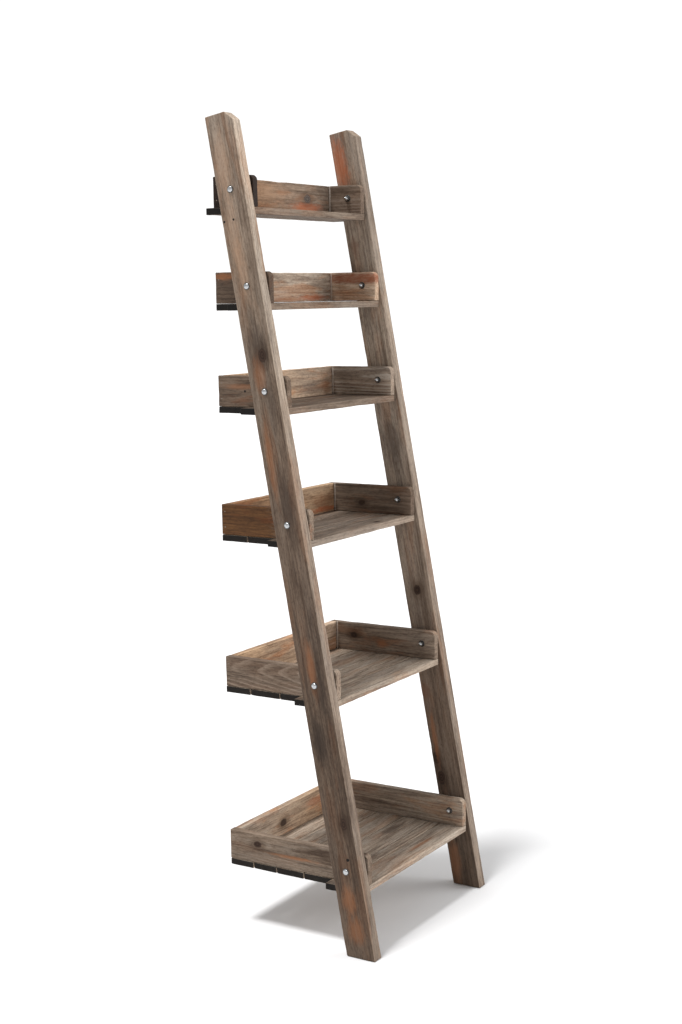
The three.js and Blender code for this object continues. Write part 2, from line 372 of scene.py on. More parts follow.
@dataclass(frozen=True)
class BoardFinish:
    """The finish of one board: its timber, the marks in it and where its grain starts."""

    timber: Timber
    marks: tuple[Mark, ...] = ()
    seed: float = 0.0
    face_tones: Tones = ("ffffff",)
    edge_tones: Tones = ("ffffff",)
    seed_shift: Triple = (1.37, 0.71, 0.53)
    knot_tint: Triple = (0.45, 0.4, 0.38)
    halo_tint: Triple = (0.36, 0.28, 0.22)

    def material(self, name: str, lie: "Lie", size: Vector) -> bpy.types.Material:
        """Make the board's material.

        Args:
            name: the material's name.
            lie: where the board's own axes lie.
            size: the board's length, width and thickness.

        Returns:
            The material.
        """
        made = bpy.data.materials.new(name)
        made.use_nodes = True
        g = Graph(made.node_tree)
        coords = g.node("ShaderNodeTexCoord").outputs
        turn = lie.grain_matrix()
        angles = turn.to_euler("XYZ")
        placed = {"Vector": coords["Object"], "Location": turn.to_translation(), "Rotation": angles}
        point = g.node("ShaderNodeMapping", placed).outputs[0]
        faced = {"Vector": coords["Normal"], "Rotation": angles}
        facing = g.node("ShaderNodeMapping", faced, vector_type="NORMAL").outputs[0]
        flow = self._round_knots(g, point)
        t = self.timber
        wood = g.node("ShaderNodeGroup", node_tree=Softwood().group())
        for name, value in {
            "Point": flow, "Seed": tuple(self.seed * shift for shift in self.seed_shift),
            "Light": srgb(t.light), "Dark": srgb(t.dark), "Stain": srgb(t.stain), "Film": srgb(t.film),
            "Ring": srgb(t.ring), "Stain Share": t.stain_share, "Film Share": t.film_share,
            "Ring Width": t.ring_width, "Ring Strength": t.ring_strength,
            "Cant": t.cant, "Pith": (0.0, *t.pith),
        }.items():  # fmt: skip
            g.feed(wood.inputs[name], value)
        colour, height = wood.outputs["Color"], wood.outputs["Height"]
        frayed = g.noise(point, (60.0, 240.0, 240.0), 3.0, 0.6).outputs[0]
        nu, nv, nw = (g.math("ABSOLUTE", part) for part in g.split(facing))
        # the arrises are painted pale: partly wear, partly a painted highlight on the rounded edges
        flat = g.math("MAXIMUM", g.math("MAXIMUM", nu, nv), nw)
        arris = g.step(g.math("SUBTRACT", 1.0, flat), 0.02, 0.12, 0.5)
        worn_and_highlit = g.math("MULTIPLY", arris, g.step(frayed, 0.35, 0.6))
        colour = g.mix(worn_and_highlit, colour, srgb(t.light))
        # each board's colour is multiplied by tones of its own along its length, and its narrow faces by
        # tones of their own; on the rails these are lighter, partly bleaching and partly painted light
        # where the key light falls on the front faces
        along = g.math("MULTIPLY", g.math("SUBTRACT", frayed, 0.5), 0.1)
        share = g.math("ADD", g.math("DIVIDE", g.math("ADD", g.split(point)[0], along), size.x), 0.5)
        face, edge = (self._ramp(g, share, tones) for tones in (self.face_tones, self.edge_tones))
        colour = g.mix(1.0, colour, g.mix(g.step(nv, 0.55, 0.85), face, edge), "MULTIPLY")
        for mark in self.marks:
            colour, height = self._add_mark(g, mark, point, frayed, colour, height)
        # the cut ends are darker than the faces: a little on most boards, and nearly black on the floor
        # planks and slats
        end_tint = (t.end_tone, t.end_tone * 0.96, t.end_tone * 0.92)
        colour = g.mix(g.step(nu, 0.55, 0.85), colour, g.shade(colour, end_tint))
        relief = g.node("ShaderNodeBump", {"Height": height, "Strength": 0.5, "Distance": 0.0007})
        shader = g.node(
            "ShaderNodeBsdfPrincipled",
            {"Base Color": colour, "Roughness": wood.outputs["Roughness"], "Normal": relief.outputs[0]},
        )
        shader.inputs["Specular IOR Level"].default_value = 0.25
        g.node("ShaderNodeOutputMaterial", {"Surface": shader.outputs[0]})
        return made

    @staticmethod
    def _ramp(g: Graph, share: Any, tones: Tones) -> bpy.types.NodeSocket:
        """Blend tones along the board.

        Args:
            g: the material's graph.
            share: how far along the board a point is, from nought to one.
            tones: its tones from one end to the other, evenly spread.

        Returns:
            The tone at that point.
        """
        made = g.node("ShaderNodeValToRGB", {0: share})
        ramp = made.color_ramp
        ramp.interpolation = "EASE"
        while len(ramp.elements) < len(tones):
            ramp.elements.new(0.5)
        while len(ramp.elements) > len(tones):
            ramp.elements.remove(ramp.elements[-1])
        for number, (element, code) in enumerate(zip(ramp.elements, tones)):
            element.position, element.color = number / max(len(tones) - 1, 1), srgb(code)
        return made.outputs["Color"]

    def _round_knots(self, g: Graph, point: Any) -> Any:
        """Spread the grain to both sides of each knot.

        Args:
            g: the material's graph.
            point: the board's own point.

        Returns:
            The point that the grain is looked up at.
        """
        flow = point
        for mark in (m for m in self.marks if m.blot.value[2]):
            away = g.vector("SUBTRACT", point, (mark.u, mark.v, 0.0))
            reach = g.vector("MULTIPLY", away, (0.45 / mark.length, 0.7 / mark.width, 0.0))
            near = g.math("SUBTRACT", 1.0, g.step(g.vector("LENGTH", reach), 0.0, 1.3))
            aside = g.split(away)[1]
            lean = g.math("DIVIDE", aside, g.math("ADD", g.math("ABSOLUTE", aside), mark.width * 0.35))
            push = g.math("MULTIPLY", g.math("MULTIPLY", near, lean), -0.55 * mark.width)
            flow = g.vector("ADD", flow, g.join(0.0, push, 0.0))
        return flow

    def _add_mark(
        self, g: Graph, mark: Mark, point: Any, frayed: Any, colour: Any, height: Any
    ) -> tuple[Any, Any]:
        """Lay a mark over the grain.

        Args:
            g: the material's graph.
            mark: the mark.
            point: the board's own point.
            frayed: a noise that breaks up the rim.
            colour: the colour so far.
            height: the height so far.

        Returns:
            The new colour and height.
        """
        inner, outer, is_knot = mark.blot.value
        away = g.vector("SUBTRACT", point, (mark.u, mark.v, mark.w))
        depth = 1 / mark.depth if mark.depth else 0.0
        reach = g.vector("LENGTH", g.vector("MULTIPLY", away, (1 / mark.length, 1 / mark.width, depth)))
        fray = g.math("MULTIPLY", g.math("SUBTRACT", frayed, 0.5), 0.5 if is_knot else 0.9)
        reach = g.math("ADD", reach, fray)
        share = g.math("MULTIPLY", g.math("SUBTRACT", 1.0, g.step(reach, inner, outer)), mark.strength)
        if is_knot:
            rim = g.math("PINGPONG", g.math("MULTIPLY", reach, 2.6), 0.5)
            own = srgb(mark.colour)
            own = g.mix(g.step(rim, 0.1, 0.45), g.shade(own, self.knot_tint), own)
            halo = g.math("MULTIPLY", g.math("SUBTRACT", 1.0, g.step(reach, 0.9, 2.4)), 0.6 * mark.strength)
            colour = g.mix(halo, colour, g.shade(colour, self.halo_tint))
            return g.mix(share, colour, own), g.math("SUBTRACT", height, g.math("MULTIPLY", share, 0.5))
        if mark.blot is Blot.HOLE:
            deep = g.math("MULTIPLY", share, 2.0)
            return g.mix(share, colour, srgb(mark.colour)), g.math("SUBTRACT", height, deep)
        tinted = g.mix(g.math("MULTIPLY", frayed, 0.45), srgb(mark.colour), colour)
        return g.mix(share, colour, tinted), height


@dataclass(frozen=True)
class MetalFinish:
    """Bare or plated steel, with fine scratches and dull spots."""

    name: str
    colour: str
    roughness: float
    spots: str
    spot_share: float

    def material(self) -> bpy.types.Material:
        """Return the metal's material, made the first time it is asked for."""
        made = bpy.data.materials.get(self.name)
        if made:
            return made
        made = bpy.data.materials.new(self.name)
        made.use_nodes = True
        g = Graph(made.node_tree)
        point = g.node("ShaderNodeTexCoord").outputs["Object"]
        dull = g.noise(point, (420.0, 420.0, 420.0), 3.0, 0.6).outputs[0]
        spotted = g.step(dull, 0.5, 0.68, self.spot_share)
        scratch = g.noise(point, (300.0, 2400.0, 2400.0), 2.0).outputs[0]
        rough = g.math("ADD", self.roughness, g.math("MULTIPLY", scratch, 0.1))
        rough = g.math("ADD", g.math("MULTIPLY", spotted, 0.4), rough)
        relief = g.node("ShaderNodeBump", {"Height": scratch, "Strength": 0.15, "Distance": 0.0002})
        shader = g.node(
            "ShaderNodeBsdfPrincipled",
            {"Base Color": g.mix(spotted, srgb(self.colour), srgb(self.spots)), "Roughness": rough,
             "Metallic": 1.0, "Normal": relief.outputs[0]},
        )  # fmt: skip
        g.node("ShaderNodeOutputMaterial", {"Surface": shader.outputs[0]})
        return made


BRIGHT_ZINC = MetalFinish("bright zinc", "bfc1c3", 0.17, "4a4947", 0.5)
# The washers are dull zinc, painted darker still as shade, which gives the dark ring round each bolt head
# and nut.
DULL_ZINC_WITH_PAINTED_SHADE = MetalFinish("dull zinc with painted shade", "5a5957", 0.38, "2c2927", 0.7)
NAIL_STEEL = MetalFinish("nail steel", "8b8279", 0.45, "4a3428", 0.9)


# --------------------------------------------------------------------------------------
# Boards
# --------------------------------------------------------------------------------------


@dataclass(frozen=True)
class Lie:
    """Where a board lies: its middle, and the directions of its grain and of its width."""

    centre: Vector
    along: Vector
    across: Vector

    def matrix(self) -> Matrix:
        """Return the matrix from the board's own axes to the shelf's frame."""
        through = self.along.cross(self.across)
        turn = Matrix((self.along, self.across, through)).transposed()
        return Matrix.Translation(self.centre) @ turn.to_4x4()

    def grain_matrix(self) -> Matrix:
        """Return the matrix from the shelf's frame to the board's own axes."""
        return self.matrix().inverted()


class Wear:
    """Rounds off, dents and ripples the surface of a board, always inwards."""

    RIPPLE = 0.22 * MM
    DENT = 1.5 * MM
    CHIP = 0.7 * MM

    def __init__(self, seed: float, reach: float = 3.2 * MM) -> None:
        """Take the board's own seed, and how far from an arris a dent may reach."""
        self.shift = Vector((seed * 2.3, seed * 1.1, seed * 0.7))
        self.reach = reach

    def apply(self, bm: bmesh.types.BMesh, half: Vector) -> None:
        """Push the surface in.

        Args:
            bm: the board, in its own axes.
            half: half of its length, width and thickness.
        """
        bm.normal_update()
        moves = []
        for vert in bm.verts:
            spot = vert.co + self.shift
            depth = self.RIPPLE * (0.5 + 0.5 * noise.noise(spot * 60))
            near = sum(abs(abs(vert.co[axis]) - half[axis]) < self.reach for axis in range(3))
            if near >= 2:
                depth += self.DENT * max(0.0, noise.noise(spot * 26) - 0.12)
                depth += self.CHIP * max(0.0, noise.noise(spot * 110) - 0.2)
            moves.append(vert.normal * -depth)
        for vert, move in zip(bm.verts, moves):
            vert.co += move


@dataclass
class WornBoard:
    """One worn board, which stands for a CAD node."""

    node: str
    body: str
    slot: str
    lie: Lie
    size: Vector
    finish: BoardFinish
    arris: float = 1.6 * MM
    cell: float = 9 * MM
    holes: tuple[Place, ...] = ()
    hole_radius: float = 3.4 * MM
    nose: float = 0.0
    cuts: tuple[tuple[Vector, Vector], ...] = ()
    hole_cell: float = 6 * MM
    first_row: float = 1.4 * MM
    sharp: float = math.radians(20)

    def build(self) -> bpy.types.Object:
        """Make the board's mesh and material and hang it on its body.

        Returns:
            The finished piece.
        """
        bm = bmesh.new()
        bmesh.ops.create_cube(bm, size=1.0)
        bmesh.ops.scale(bm, vec=self.size, verts=bm.verts)
        self._shape(bm)
        self._round_arrises(bm)
        self._slice(bm)
        for place in self.holes:
            self._drill(bm, Vector((*place, 0.0)))
        bmesh.ops.remove_doubles(bm, verts=bm.verts, dist=0.02 * MM)
        face_outwards(bm)
        Wear(self.finish.seed).apply(bm, self.size / 2)
        for face in bm.faces:
            face.smooth = True
        bmesh.ops.transform(bm, matrix=self.lie.matrix(), verts=bm.verts)
        piece = new_piece(f"{self.node}_board", bm)
        piece.data.materials.append(self.finish.material(f"{self.node} wood", self.lie, self.size))
        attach(piece, self.body)
        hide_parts(self.node)
        return piece

    def _shape(self, bm: bmesh.types.BMesh) -> None:
        """Cut the ends and round the nose of the plain block.

        Args:
            bm: the board, in its own axes.
        """
        for point, outward in self.cuts:
            cut_off(bm, point, outward)
        if self.nose:
            corner = Vector((-self.size.x / 2, self.size.y / 2, 0.0))
            edges = [e for e in bm.edges if all((v.co - corner).xy.length < MM for v in e.verts)]
            bevel(bm, edges, self.nose, 7)

    def _round_arrises(self, bm: bmesh.types.BMesh) -> None:
        """Round every sharp edge."""
        bevel(bm, [e for e in bm.edges if e.calc_face_angle(0.0) > self.sharp], self.arris, 3)

    def _slice(self, bm: bmesh.types.BMesh) -> None:
        """Cut the faces into cells that are small enough to wear, with a square one round each hole.

        Args:
            bm: the board, in its own axes.
        """
        half = self.size / 2
        rim = self.arris + self.first_row
        for axis in range(3):
            inner = half[axis] - rim
            count = max(1, round(2 * inner / (self.cell * (1, 1.4, 1.4)[axis])))
            places = [inner * (2 * i / count - 1) for i in range(count + 1)]
            for hole in self.holes if axis < 2 else ():
                places = [p for p in places if abs(p - hole[axis]) > self.hole_cell + MM]
                places += [hole[axis] - self.hole_cell, hole[axis] + self.hole_cell]
            direction = Vector((axis == 0, axis == 1, axis == 2))
            for place in sorted(set(places)):
                bmesh.ops.bisect_plane(
                    bm, geom=bm.verts[:] + bm.edges[:] + bm.faces[:], dist=CLOSE,
                    plane_co=direction * place, plane_no=direction,
                )  # fmt: skip

    def _drill(self, bm: bmesh.types.BMesh, centre: Vector) -> None:
        """Open a round hole through the thickness.

        Args:
            bm: the board, in its own axes.
            centre: the hole's place, with a w of nought.
        """
        rims = []
        for side in (-1, 1):
            cell = [
                f for f in bm.faces
                if f.normal.z * side > 0.9
                and max(abs(c) for c in (f.calc_center_median() - centre).xy) < self.hole_cell
            ]  # fmt: skip
            bmesh.ops.delete(bm, geom=cell, context="FACES")
            square = [
                e for e in bm.edges
                if e.is_boundary and e.verts[0].co.z * side > 0
                and max(abs(c) for v in e.verts for c in (v.co - centre).xy) < self.hole_cell + 0.5 * MM
            ]  # fmt: skip
            at = Matrix.Translation(centre + Vector((0, 0, side * self.size.z / 2)))
            ring = bmesh.ops.create_circle(bm, radius=self.hole_radius, segments=16, matrix=at)["verts"]
            rim = list({e for v in ring for e in v.link_edges})
            bmesh.ops.triangle_fill(bm, use_beauty=True, edges=square + rim, normal=(0, 0, side))
            rims.append(rim)
        wall = bmesh.ops.extrude_edge_only(bm, edges=rims[0])["geom"]
        far_rim = [v for v in wall if isinstance(v, bmesh.types.BMVert)]
        bmesh.ops.translate(bm, vec=(0, 0, self.size.z), verts=far_rim)


def face_outwards(bm: bmesh.types.BMesh) -> None:
    """Point every face outwards.

    Args:
        bm: a closed mesh.
    """
    bmesh.ops.recalc_face_normals(bm, faces=bm.faces)
    if bm.calc_volume(signed=True) < 0:
        bmesh.ops.reverse_faces(bm, faces=bm.faces)


def bevel(bm: bmesh.types.BMesh, edges: Iterable[bmesh.types.BMEdge], offset: float, segments: int) -> None:
    """Round edges with the settings that every board shares.

    Args:
        bm: the board.
        edges: the edges that are rounded.
        offset: how far the rounding reaches from an edge.
        segments: how many facets it has.
    """
    bmesh.ops.bevel(
        bm, geom=list(edges), offset=offset, offset_type="OFFSET", segments=segments, profile=0.5,
        affect="EDGES", material=-1, clamp_overlap=True,
    )  # fmt: skip


def cut_off(bm: bmesh.types.BMesh, point: Vector, outward: Vector) -> None:
    """Saw off what lies beyond a plane, and close the cut.

    Args:
        bm: the board, in its own axes.
        point: a point of the plane.
        outward: its normal, on the side that is sawn off.
    """
    cut = bmesh.ops.bisect_plane(
        bm, geom=bm.verts[:] + bm.edges[:] + bm.faces[:], dist=CLOSE,
        plane_co=point, plane_no=outward, clear_outer=True,
    )  # fmt: skip
    rim = [e for e in cut["geom_cut"] if isinstance(e, bmesh.types.BMEdge)]
    bmesh.ops.contextual_create(bm, geom=rim)


def new_piece(name: str, bm: bmesh.types.BMesh) -> bpy.types.Object:
    """Put a finished bmesh in the scene.

    Args:
        name: the piece's name.
        bm: its mesh in the shelf's frame, which is freed.

    Returns:
        The new object, at the origin.
    """
    mesh = bpy.data.meshes.new(name)
    bm.to_mesh(mesh)
    bm.free()
    piece = bpy.data.objects.new(name, mesh)
    bpy.context.scene.collection.objects.link(piece)
    return piece


# --------------------------------------------------------------------------------------
# The timbers and the marks of each board
# --------------------------------------------------------------------------------------

RAIL = Timber(stain_share=0.26, film_share=0.35, ring_strength=0.16)
GREY = Timber(stain_share=0.15, film_share=0.45, cant=0.045)
ARCHED = Timber(
    stain_share=0.1, film_share=0.2, ring="f2e8dc", cant=0.1, ring_width=0.0066, ring_strength=0.85
)
LINED = Timber(stain_share=0.1, film_share=0.2, ring="efe8e0", cant=0.01, ring_strength=0.8)
BROWN = Timber(stain_share=0.4, film_share=0.25)
RED = Timber(stain="db9562", stain_share=0.4, film_share=0.1, cant=0.012, ring_strength=0.3)
TAN = Timber(stain_share=0.45, film_share=0.35, ring_strength=0.2)
PLANK = Timber(stain_share=0.25, film_share=0.45, ring_strength=0.25, end_tone=0.035)
SLAT = Timber(stain_share=0.2, film_share=0.45, ring_strength=0.25, end_tone=0.06)

# Tones that the timber's own colours are multiplied by.
SOOT, UMBER, BARK, TAUPE, SAND = "3c3028", "785838", "7c7066", "90847a", "b09070"
DRIFT, ASH, SILVER, STRAW, CHALK, CREAM = "a49a90", "b8b0a8", "d0cac2", "f0d8bc", "ece6de", "fff0e0"

# The timber of each board, and the tones it is multiplied by from one end to the other.
BOARDS: dict[str, tuple[Timber, Tones]] = {
    "rail_left": (RAIL, (BARK, BARK, TAUPE, DRIFT, ASH)),
    "rail_right": (RAIL, (BARK, TAUPE, ASH, SILVER, ASH)),
    "tray_1_side_left": (GREY, (SOOT,)),
    "tray_1_side_right": (LINED, (TAUPE,)),
    "tray_1_back": (TAN, (SAND, ASH)),
    "tray_2_side_left": (BROWN, (BARK,)),
    "tray_2_side_right": (BROWN, (CREAM,)),
    "tray_2_back": (TAN, (SILVER, CHALK)),
    "tray_3_side_left": (RED, (DRIFT, TAUPE)),
    "tray_3_side_right": (LINED, (ASH,)),
    "tray_3_back": (TAN, (STRAW, CREAM)),
    "tray_4_side_left": (RED, (ASH, UMBER, UMBER)),
    "tray_4_side_right": (BROWN, (TAUPE, DRIFT)),
    "tray_4_back": (TAN, (SAND, STRAW)),
    "tray_5_side_left": (ARCHED, (ASH, TAUPE, TAUPE)),
    "tray_5_side_right": (BROWN, (ASH, DRIFT)),
    "tray_5_back": (TAN, (STRAW, CREAM)),
    "tray_6_side_left": (GREY, (DRIFT,)),
    "tray_6_side_right": (BROWN, (SILVER, ASH)),
    "tray_6_back": (TAN, (SILVER, STRAW)),
}
# The rails' narrow faces are lighter: partly bleached, partly painted light standing for the key light on
# their front faces.
EDGE_TONES_AND_LIGHT: dict[str, Tones] = {
    "rail_left": (DRIFT, ASH, ASH, SILVER, CHALK),
    "rail_right": (ASH, ASH, ASH, SILVER, ASH),
}
FLOOR_TONES = (DRIFT, DRIFT, DRIFT, ASH, SILVER, SILVER)
FIRST_SEED, SEED_STEP = 1.0, 1.9

# Colours of knots, stains and holes.
PITCH, KNOT_BROWN, KNOT_GREY, SHADOW, CLOUD = "14100d", "3b2a20", "5b5450", "261e19", "3e322a"
TAN_STAIN, RUSSET, DARK_RUSSET, ORANGE, RED_BROWN = "b08a6c", "8f5b38", "643e29", "a8562a", "7f3d1b"
# Painted light: the pale strip at the inner back corner of each side board, standing for light that shows
# in its joint with the back board.
JOINT_LIGHT = "d8ccc0"


def knot(
    u: float, v: float, length: float, width: float, strength: float = 1.0, colour: str = KNOT_BROWN
) -> Mark:
    """Return a knot."""
    return Mark(Blot.KNOT, u, v, length, width, colour, strength)


def stain(colour: str, u: float, v: float, length: float, width: float, strength: float) -> Mark:
    """Return a stain."""
    return Mark(Blot.STAIN, u, v, length, width, colour, strength)


def hole(u: float, v: float, radius: float) -> Mark:
    """Return an old nail hole."""
    return Mark(Blot.HOLE, u, v, radius, radius, PITCH)


# The marks of each board. Each size is half of the mark's length or width.
MARKS: dict[str, tuple[Mark, ...]] = {
    "rail_left": (
        stain(TAN_STAIN, 0.83, 0.01, 0.09, 0.024, 0.35), stain(TAN_STAIN, 0.68, 0.01, 0.12, 0.02, 0.3),
        stain(TAN_STAIN, 0.6, 0.005, 0.1, 0.018, 0.3), hole(0.71, 0.03, 0.003), hole(0.71, 0.005, 0.003),
        stain(CLOUD, 0.43, 0, 0.075, 0.04, 0.8), stain(RUSSET, 0.37, 0.005, 0.055, 0.02, 0.5),
        knot(0.41, -0.01, 0.019, 0.012), stain(RUSSET, 0.18, 0.015, 0.11, 0.012, 0.5),
        stain(CLOUD, 0.06, -0.01, 0.12, 0.024, 0.55), stain(CLOUD, 0.3, -0.01, 0.09, 0.02, 0.55),
        stain(RUSSET, -0.28, 0, 0.07, 0.014, 0.6), stain(SHADOW, -0.44, 0.01, 0.075, 0.024, 0.85),
        stain(SHADOW, -0.33, -0.015, 0.09, 0.016, 0.7), knot(-0.63, -0.015, 0.016, 0.01),
        hole(-0.71, -0.01, 0.004), stain(RUSSET, -0.8, 0.005, 0.04, 0.022, 0.6),
        stain(RUSSET, -0.87, 0, 0.04, 0.026, 0.5),
    ),
    "rail_right": (
        stain(ORANGE, 0.86, 0.02, 0.09, 0.028, 0.65), stain(DARK_RUSSET, 0.66, 0.015, 0.03, 0.014, 0.6),
        stain(CLOUD, 0.59, 0.03, 0.08, 0.01, 0.7), stain(CLOUD, 0.18, 0.005, 0.08, 0.03, 0.75),
        stain(CLOUD, 0.52, 0.01, 0.09, 0.018, 0.6), stain(DARK_RUSSET, -0.36, 0.025, 0.03, 0.014, 0.5),
        stain(DARK_RUSSET, -0.44, 0.025, 0.03, 0.014, 0.5), knot(-0.61, 0.025, 0.018, 0.01, 0.9),
        knot(-0.66, 0.02, 0.02, 0.012), stain(RUSSET, -0.56, 0.02, 0.08, 0.009, 0.6),
        stain(RUSSET, -0.87, 0.02, 0.07, 0.02, 0.5), knot(0.33, -0.015, 0.014, 0.01),
        knot(-0.19, 0, 0.015, 0.011),
    ),
    "tray_1_side_left": (knot(-0.01, 0.005, 0.01, 0.007),),
    "tray_1_back": (
        stain(ORANGE, 0.12, -0.02, 0.085, 0.014, 0.8), knot(0.12, 0, 0.017, 0.012, 0.85, KNOT_GREY),
        stain(TAN_STAIN, -0.06, 0.005, 0.12, 0.03, 0.3),
    ),
    "tray_2_side_left": (
        stain(RUSSET, 0.05, 0.025, 0.04, 0.01, 0.75), stain(CLOUD, 0, -0.005, 0.06, 0.02, 0.4),
    ),
    "tray_2_side_right": (stain(RED_BROWN, -0.02, 0.02, 0.16, 0.018, 1),),
    "tray_2_back": (
        stain(ORANGE, 0.14, -0.025, 0.08, 0.01, 0.8), stain(RUSSET, 0.01, -0.03, 0.09, 0.008, 0.6),
        knot(-0.12, 0.005, 0.013, 0.009, 0.8),
    ),
    "tray_3_side_left": (hole(0.02, 0, 0.003), stain(RUSSET, 0.03, 0.01, 0.06, 0.008, 0.5)),
    "tray_3_back": (
        stain(KNOT_GREY, 0.12, -0.015, 0.07, 0.018, 0.55), stain(RUSSET, 0.19, -0.015, 0.026, 0.022, 0.6),
        knot(-0.08, 0.01, 0.014, 0.01, 0.8),
    ),
    "tray_4_side_right": (knot(0.02, -0.01, 0.012, 0.008, 0.8),),
    "tray_4_back": (
        stain(RUSSET, 0.17, -0.005, 0.07, 0.026, 0.5), stain(ORANGE, 0.17, -0.025, 0.09, 0.009, 0.85),
        knot(-0.06, 0, 0.015, 0.011, 0.9),
    ),
    "tray_5_side_right": (stain(RUSSET, 0, -0.01, 0.02, 0.013, 0.7), knot(0.08, 0.005, 0.012, 0.009)),
    "tray_5_back": (knot(0.06, 0.005, 0.016, 0.011, 0.9), stain(ORANGE, -0.12, -0.015, 0.08, 0.014, 0.6)),
    "tray_6_side_left": (stain(RUSSET, 0.01, -0.005, 0.08, 0.005, 0.7), knot(0.11, 0.01, 0.013, 0.009)),
    "tray_6_back": (knot(-0.04, -0.005, 0.016, 0.012, 0.9), stain(ORANGE, 0.12, 0.01, 0.08, 0.014, 0.5)),
    "tray_6_plank_1": (stain(RUSSET, 0.06, 0, 0.07, 0.008, 0.7),),
    "tray_6_plank_2": (stain(CLOUD, 0.12, 0.01, 0.05, 0.02, 0.7),),
    "tray_5_plank_2": (knot(-0.06, 0.005, 0.014, 0.01, 0.9),),
    "tray_4_plank_1": (knot(0.09, -0.01, 0.013, 0.009, 0.9),),
}  # fmt: skip
# Painted shade: a near-black patch on each end of the stop slats, where they run in beside the side boards
# and rails.
SLAT_END_SHADE = tuple(stain(SHADOW, u, 0, 0.03, 0.06, 0.85) for u in (-0.262, 0.262))


def finish_of(node: str, number: int) -> BoardFinish:
    """Return the finish of a board, plank or slat.

    Args:
        node: its CAD node.
        number: a number of its own, for its seed.

    Returns:
        The finish.
    """
    seed = FIRST_SEED + number * SEED_STEP
    marks = MARKS.get(node, ())
    if node in BOARDS:
        timber, tones = BOARDS[node]
        return BoardFinish(timber, marks, seed, tones, EDGE_TONES_AND_LIGHT.get(node, tones))
    tones = (FLOOR_TONES[int(node.split("_")[1]) - 1],)
    if node.endswith("_slat"):
        return BoardFinish(SLAT, SLAT_END_SHADE, seed, tones, tones)
    return BoardFinish(PLANK, marks, seed, tones, tones)


# --------------------------------------------------------------------------------------
# Sub-assemblies
# --------------------------------------------------------------------------------------


def middle_and_size(node: str) -> tuple[Vector, Vector]:
    """Return the middle and the extents of a CAD node's box."""
    low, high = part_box(node)
    return (low + high) / 2, high - low


@dataclass
class Rail:
    """One of the two leaning rails."""

    side: str
    slot: str
    bolts: tuple[Vector, ...]
    length: float = 1.88
    width: float = 0.072
    thickness: float = 0.030
    top_corner: float = 0.020

    def build(self) -> bpy.types.Object:
        """Make the rail with its level foot, cut top corner and bolt holes.

        Returns:
            The finished piece.
        """
        node = f"rail_{self.side}"
        along = Vector((0, math.sin(LEAN), math.cos(LEAN)))
        across = Vector((0, math.cos(LEAN), -math.sin(LEAN)))
        low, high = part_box(node)
        foot = Vector(((low.x + high.x) / 2, low.y, low.z))
        lie = Lie(foot + along * self.length / 2 + across * self.width / 2, along, across)
        inward = lie.grain_matrix()
        level = inward.to_3x3() @ Vector((0, 0, -1))
        corner = Vector((self.length / 2, -self.width / 2, 0))
        return WornBoard(
            node=node,
            body="ladder",
            slot=self.slot,
            lie=lie,
            size=Vector((self.length, self.width, self.thickness)),
            finish=finish_of(node, SIDES.index(self.side)),
            arris=2.2 * MM,
            cell=10 * MM,
            holes=tuple((inward @ bolt).xy[:] for bolt in self.bolts),
            cuts=(
                (inward @ foot, level),
                (corner - Vector((self.top_corner, 0, 0)), Vector((1, -1, 0)).normalized()),
            ),
        ).build()


@dataclass
class Tray:
    """One tray: two side boards, a back board, a stop slat and its floor planks."""

    number: int
    slots: dict[str, str]
    pivot: Vector
    nose: float = 0.013
    # width and depth of the strip of painted light at the back corner joint
    joint_light_width: float = 3.2 * MM
    joint_light_depth: float = 2.0 * MM

    def build(self) -> list[bpy.types.Object]:
        """Make every board of the tray.

        Returns:
            The finished pieces.
        """
        prefix = f"tray_{self.number}_"
        nodes = [n for n in self.slots if n.startswith(prefix) and "bolt" not in n]
        return [self._board(node, index) for index, node in enumerate(nodes)]

    def _board(self, node: str, index: int) -> bpy.types.Object:
        """Make one board in the space of its CAD node.

        Args:
            node: the CAD node.
            index: its place among the tray's boards, for its seed.

        Returns:
            The finished piece.
        """
        centre, box = middle_and_size(node)
        x, y, z = Vector((1, 0, 0)), Vector((0, 1, 0)), Vector((0, 0, 1))
        holes, nose = (), 0.0
        finish = finish_of(node, self.number * 7 + index)
        if "_side_" in node:
            lie, size, nose = Lie(centre, y, z), Vector((box.y, box.z, box.x)), self.nose
            holes = ((self.pivot.y - centre.y, self.pivot.z - centre.z),)
            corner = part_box(f"tray_{self.number}_back")[0].y - centre.y
            inside = box.x / 2 if node.endswith("left") else -box.x / 2
            # painted light: a pale strip on the inner face where the back board meets it, standing for
            # light in the joint
            joint_light = stain(JOINT_LIGHT, corner - 0.75 * self.joint_light_width, 0.0, self.joint_light_width, 0.06, 0.8)
            joint_light = replace(joint_light, w=inside, depth=self.joint_light_depth)
            finish = replace(finish, marks=(*finish.marks, joint_light))
        elif node.endswith("_back"):
            lie, size = Lie(centre, x, z), Vector((box.x, box.z, box.y))
        else:
            lie, size = Lie(centre, x, y), box.copy()
        return WornBoard(
            node=node, body=f"tray_{self.number}", slot=self.slots[node], lie=lie, size=size,
            finish=finish, holes=holes, nose=nose,
        ).build()  # fmt: skip


# the directions from a dome's rim towards its top
QUARTER = tuple(math.radians(degrees) for degrees in range(0, 90, 15))


def turned(profile: Iterable[Place], steps: int) -> bmesh.types.BMesh:
    """Turn a profile round the x axis.

    Args:
        profile: the distance along the axis and the radius of each corner.
        steps: how many facets go round.

    Returns:
        A closed solid of revolution.
    """
    bm = bmesh.new()
    verts = [bm.verts.new((along, radius, 0.0)) for along, radius in profile]
    edges = [bm.edges.new(pair) for pair in zip(verts, verts[1:])]
    bmesh.ops.spin(
        bm, geom=verts + edges, cent=(0, 0, 0), axis=(1, 0, 0), angle=math.tau, steps=steps, use_merge=True
    )
    bmesh.ops.remove_doubles(bm, verts=bm.verts, dist=0.005 * MM)
    face_outwards(bm)
    return bm


